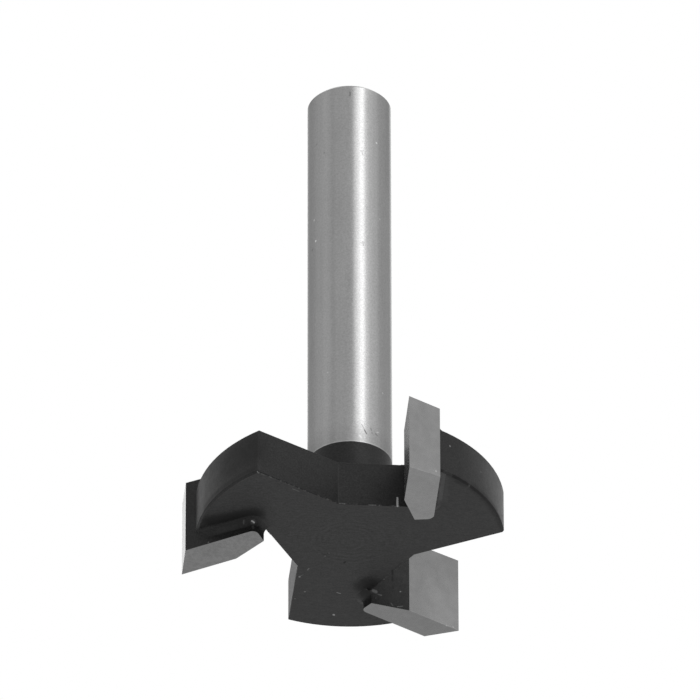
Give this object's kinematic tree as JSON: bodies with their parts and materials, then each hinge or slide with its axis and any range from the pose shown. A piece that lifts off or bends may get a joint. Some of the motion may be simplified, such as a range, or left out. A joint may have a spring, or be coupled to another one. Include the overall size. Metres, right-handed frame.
{
  "type": "surfacing router bit",
  "caption": "Router bit for flattening boards: straight shank, flat winged body and brazed carbide tips that cut at their ends and sides.",
  "frame": {"origin": "on the shank's axis, in the flat plane that the lower corners of the carbide tips sweep", "axes": "+Z runs from the cutting plane up the shank; the first tip's outer corner is 70 degrees clockwise from +X seen from above"},
  "size_m": [0.0239, 0.0234, 0.0413],
  "materials": {
    "painted_steel": "satin black paint on the body and neck, bare ground steel on the shank above them",
    "carbide": "satin ground tungsten carbide, black paint on the nose and back",
    "painted_braze": "braze under the same satin black paint as the body"
  },
  "bodies": {
    "root": {"cutter_body": "painted_steel", "carbide_tip_1": "carbide", "carbide_tip_2": "carbide", "carbide_tip_3": "carbide", "braze_seam_1": "painted_braze", "braze_seam_2": "painted_braze", "braze_seam_3": "painted_braze"}
  },
  "joints": []
}
